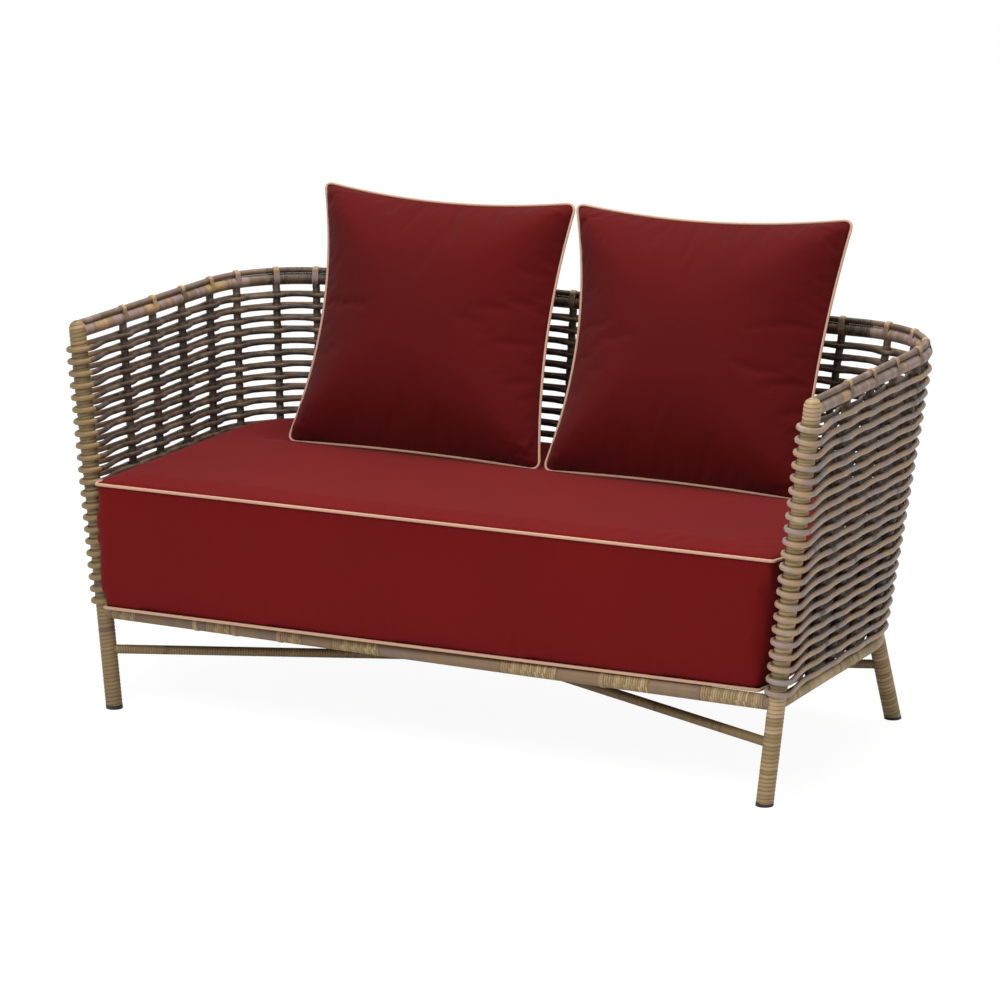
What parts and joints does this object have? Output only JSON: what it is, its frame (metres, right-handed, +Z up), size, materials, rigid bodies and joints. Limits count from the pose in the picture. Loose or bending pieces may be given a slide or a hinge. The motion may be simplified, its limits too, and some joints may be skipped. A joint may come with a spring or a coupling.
{
  "type": "patio loveseat",
  "caption": "Woven outdoor loveseat with low open arms and back on splayed wrapped legs, a thick piped seat cushion and loose piped back pillows.",
  "frame": {"origin": "on the floor, at the middle of the whole outline", "axes": "+Z up; -Y the way the sitter faces, so +X runs from the arm on the picture's left to the arm on its right"},
  "size_m": [1.5774, 0.7484, 0.9486],
  "materials": {
    "frame_metal": "satin",
    "wicker_wrap": "satin",
    "wicker_strand": "satin",
    "foot_plastic": "matte",
    "strap_webbing": "matte",
    "cushion_fabric": "matte",
    "piping_fabric": "matte",
    "foam": "matte",
    "fibre_filling": "matte",
    "zip_plastic": "satin"
  },
  "bodies": {
    "frame": {"back_leg_tube_left": "frame_metal", "back_leg_tube_right": "frame_metal", "back_leg_wrap_left": "wicker_wrap", "back_leg_wrap_right": "wicker_wrap", "base_rail_tube": "frame_metal", "base_rail_wrap": "wicker_wrap", "foot_cap_back_left": "foot_plastic", "foot_cap_back_right": "foot_plastic", "foot_cap_front_left": "foot_plastic", "foot_cap_front_right": "foot_plastic", "front_post_tube_left": "frame_metal", "front_post_tube_right": "frame_metal", "front_post_wrap_left": "wicker_wrap", "front_post_wrap_right": "wicker_wrap", "front_rail_tube": "frame_metal", "front_rail_wrap": "wicker_wrap", "post_loops_left": "wicker_strand", "post_loops_right": "wicker_strand", "rail_bindings": "wicker_wrap", "seat_cross_tubes": "frame_metal", "seat_straps_cross": "strap_webbing", "seat_straps_long": "strap_webbing", "stakes_back": "wicker_wrap", "stakes_left_arm": "wicker_wrap", "stakes_left_corner": "wicker_wrap", "stakes_right_arm": "wicker_wrap", "stakes_right_corner": "wicker_wrap", "stretcher_binding": "wicker_wrap", "stretcher_tube_long": "frame_metal", "stretcher_tube_split": "frame_metal", "stretcher_wrap_long": "wicker_wrap", "stretcher_wrap_split": "wicker_wrap", "top_cap_pole": "wicker_wrap", "top_rail_tube": "frame_metal", "top_rail_wrap": "wicker_wrap", "weave_back": "wicker_strand", "weave_left_arm": "wicker_strand", "weave_left_corner": "wicker_strand", "weave_right_arm": "wicker_strand", "weave_right_corner": "wicker_strand"},
    "seat_cushion": {"seat_cushion_core": "foam", "seat_cushion_cover": "cushion_fabric", "seat_cushion_piping_bottom": "piping_fabric", "seat_cushion_piping_top": "piping_fabric", "seat_cushion_zip": "zip_plastic"},
    "pillow_left": {"pillow_cover_left": "cushion_fabric", "pillow_fill_left": "fibre_filling", "pillow_piping_left": "piping_fabric", "pillow_zip_left": "zip_plastic"},
    "pillow_right": {"pillow_cover_right": "cushion_fabric", "pillow_fill_right": "fibre_filling", "pillow_piping_right": "piping_fabric", "pillow_zip_right": "zip_plastic"}
  },
  "joints": [
    {"name": "seat_cushion_lift", "type": "slide", "parent": "frame", "child": "seat_cushion", "axis": [0, 0, 1], "range_m": [0, 0.55]},
    {"name": "pillow_left_lift", "type": "slide", "parent": "seat_cushion", "child": "pillow_left", "axis": [0, 0, 1], "range_m": [0, 0.4]},
    {"name": "pillow_right_lift", "type": "slide", "parent": "seat_cushion", "child": "pillow_right", "axis": [0, 0, 1], "range_m": [0, 0.4]}
  ]
}
